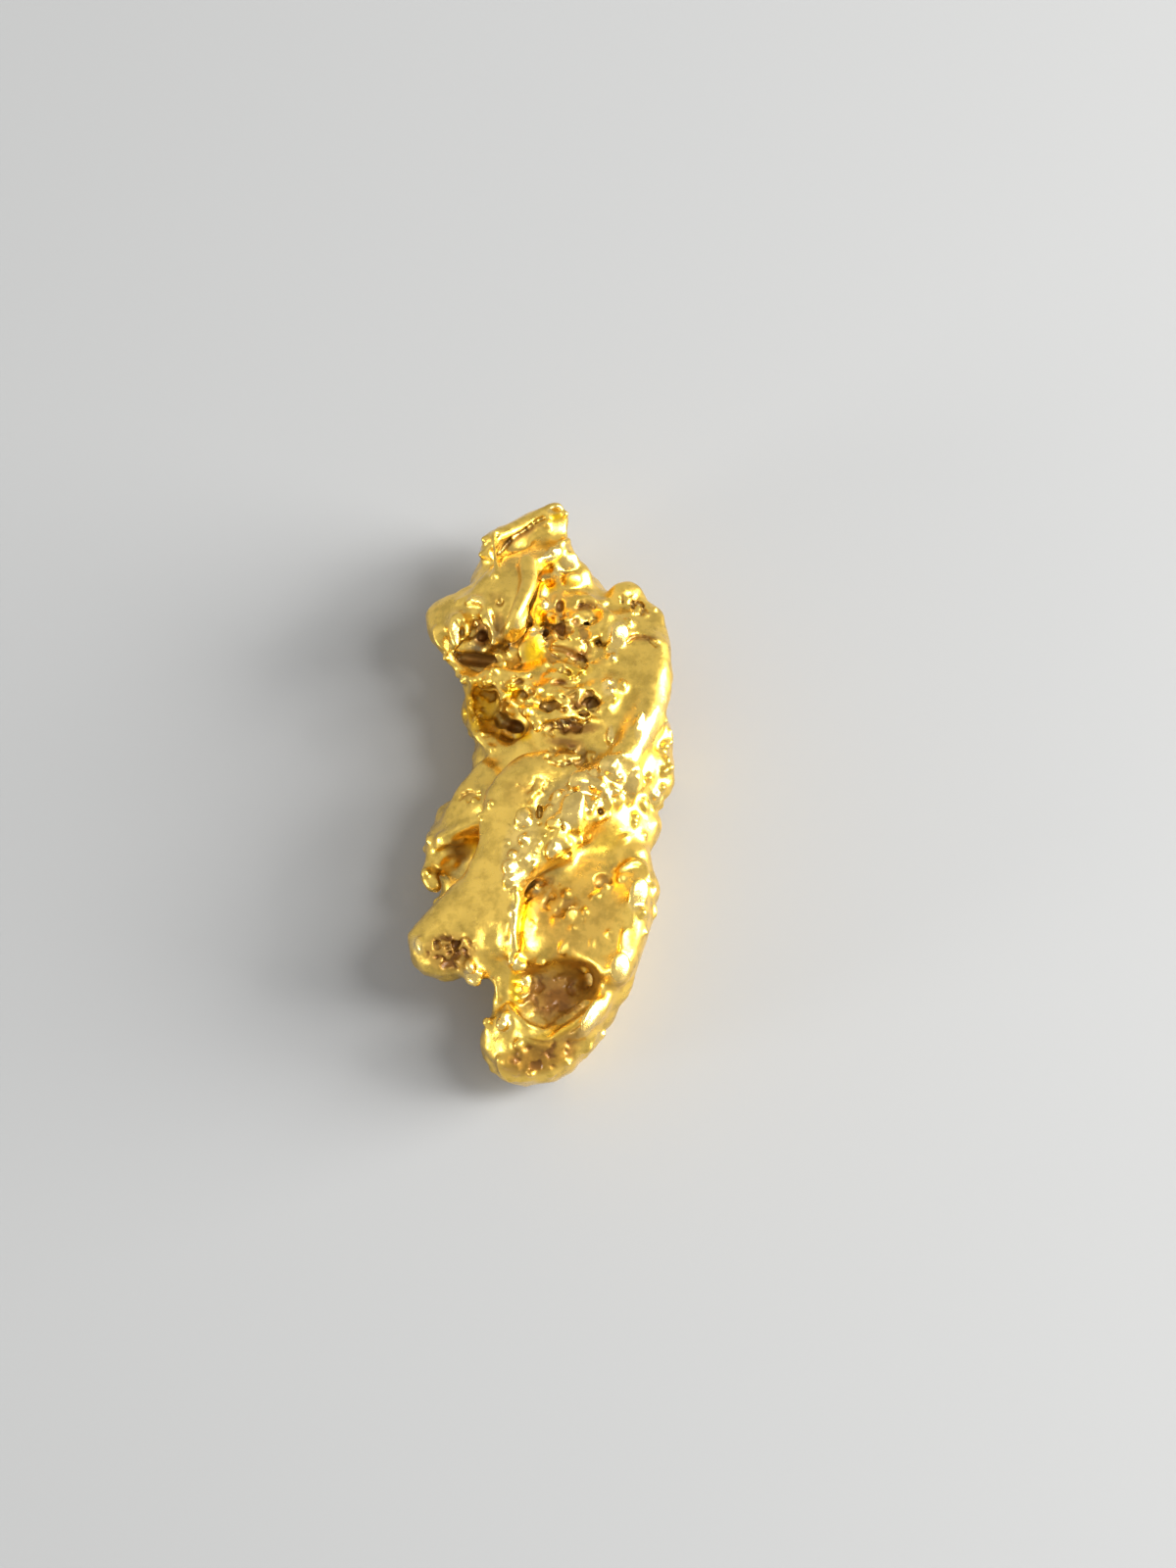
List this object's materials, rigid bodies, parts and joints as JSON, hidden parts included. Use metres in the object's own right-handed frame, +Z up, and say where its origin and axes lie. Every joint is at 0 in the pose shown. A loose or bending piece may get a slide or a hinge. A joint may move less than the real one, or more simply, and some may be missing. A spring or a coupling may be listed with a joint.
{
  "type": "gold nugget",
  "caption": "Small native gold nugget, one contorted water-worn piece with smooth folds, a hackly beaded band, pits and a hollow at its lower end, lying on its flattest side.",
  "frame": {"origin": "middle of the nugget's box, on the ground that it lies on", "axes": "+Z up from the ground, +Y along the nugget towards the end with the crest and the blade, +X to the right of someone who looks at it with that end away from them"},
  "size_m": [0.0056, 0.0122, 0.0033],
  "materials": {
    "gold": "native gold: satin where worn smooth, glittering on the hackly parts, brownish in the hollows"
  },
  "bodies": {
    "root": {"nugget": "gold"}
  },
  "joints": []
}
